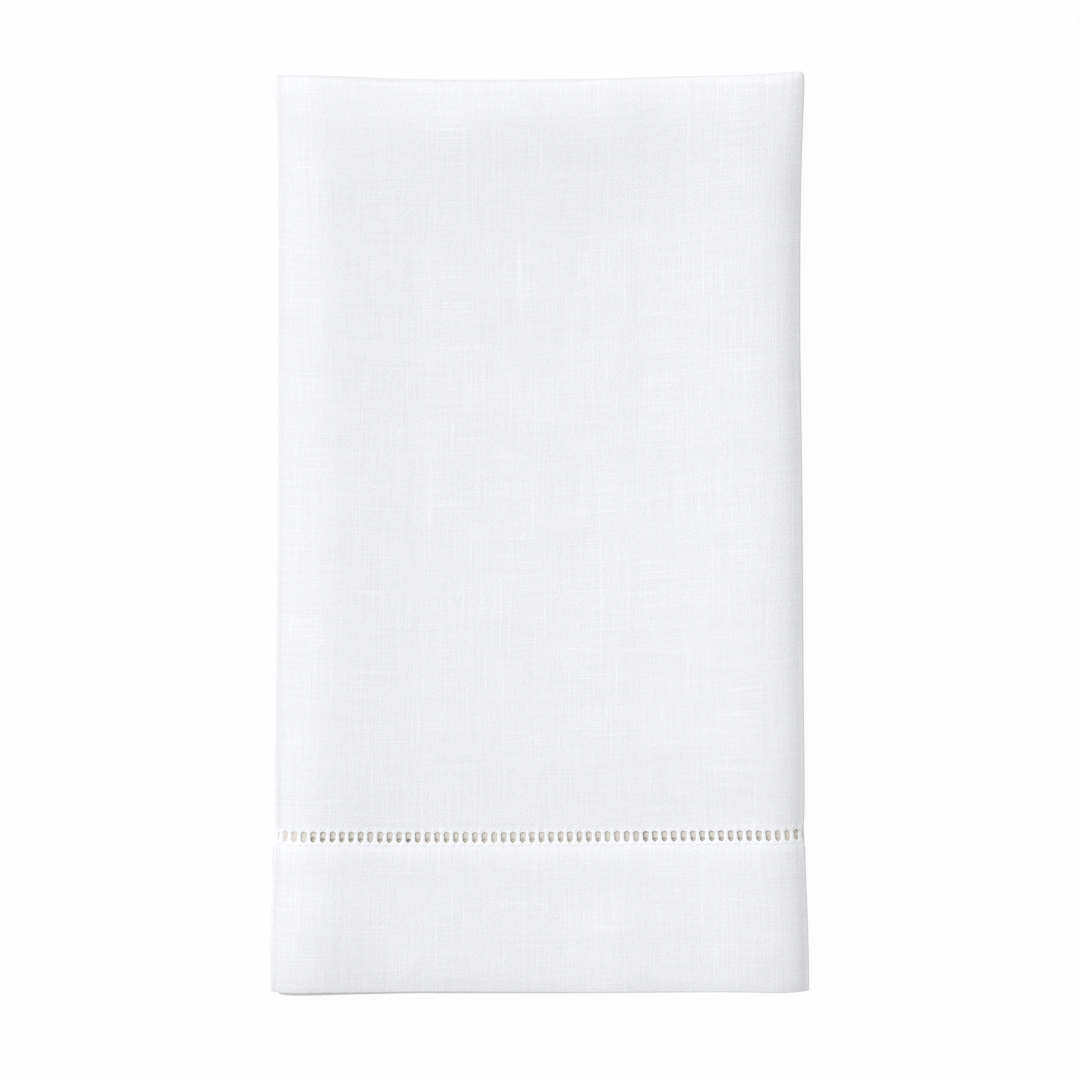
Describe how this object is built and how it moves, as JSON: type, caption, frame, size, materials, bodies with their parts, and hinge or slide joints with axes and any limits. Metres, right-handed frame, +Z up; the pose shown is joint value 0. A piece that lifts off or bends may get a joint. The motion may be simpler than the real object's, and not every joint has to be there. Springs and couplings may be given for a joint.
{
  "type": "hand towel",
  "caption": "White linen hand towel with hemstitched hems, folded lengthwise and then over at its top, lying flat.",
  "frame": {"origin": "centre of the folded towel's footprint, on the surface that it lies on", "axes": "+X across the folded towel, +Y along it towards the fold at its top, +Z up out of the front panel"},
  "size_m": [0.1486, 0.2546, 0.0122],
  "materials": {
    "linen": "matt plain weave"
  },
  "bodies": {
    "root": {"towel": "linen"}
  },
  "joints": []
}
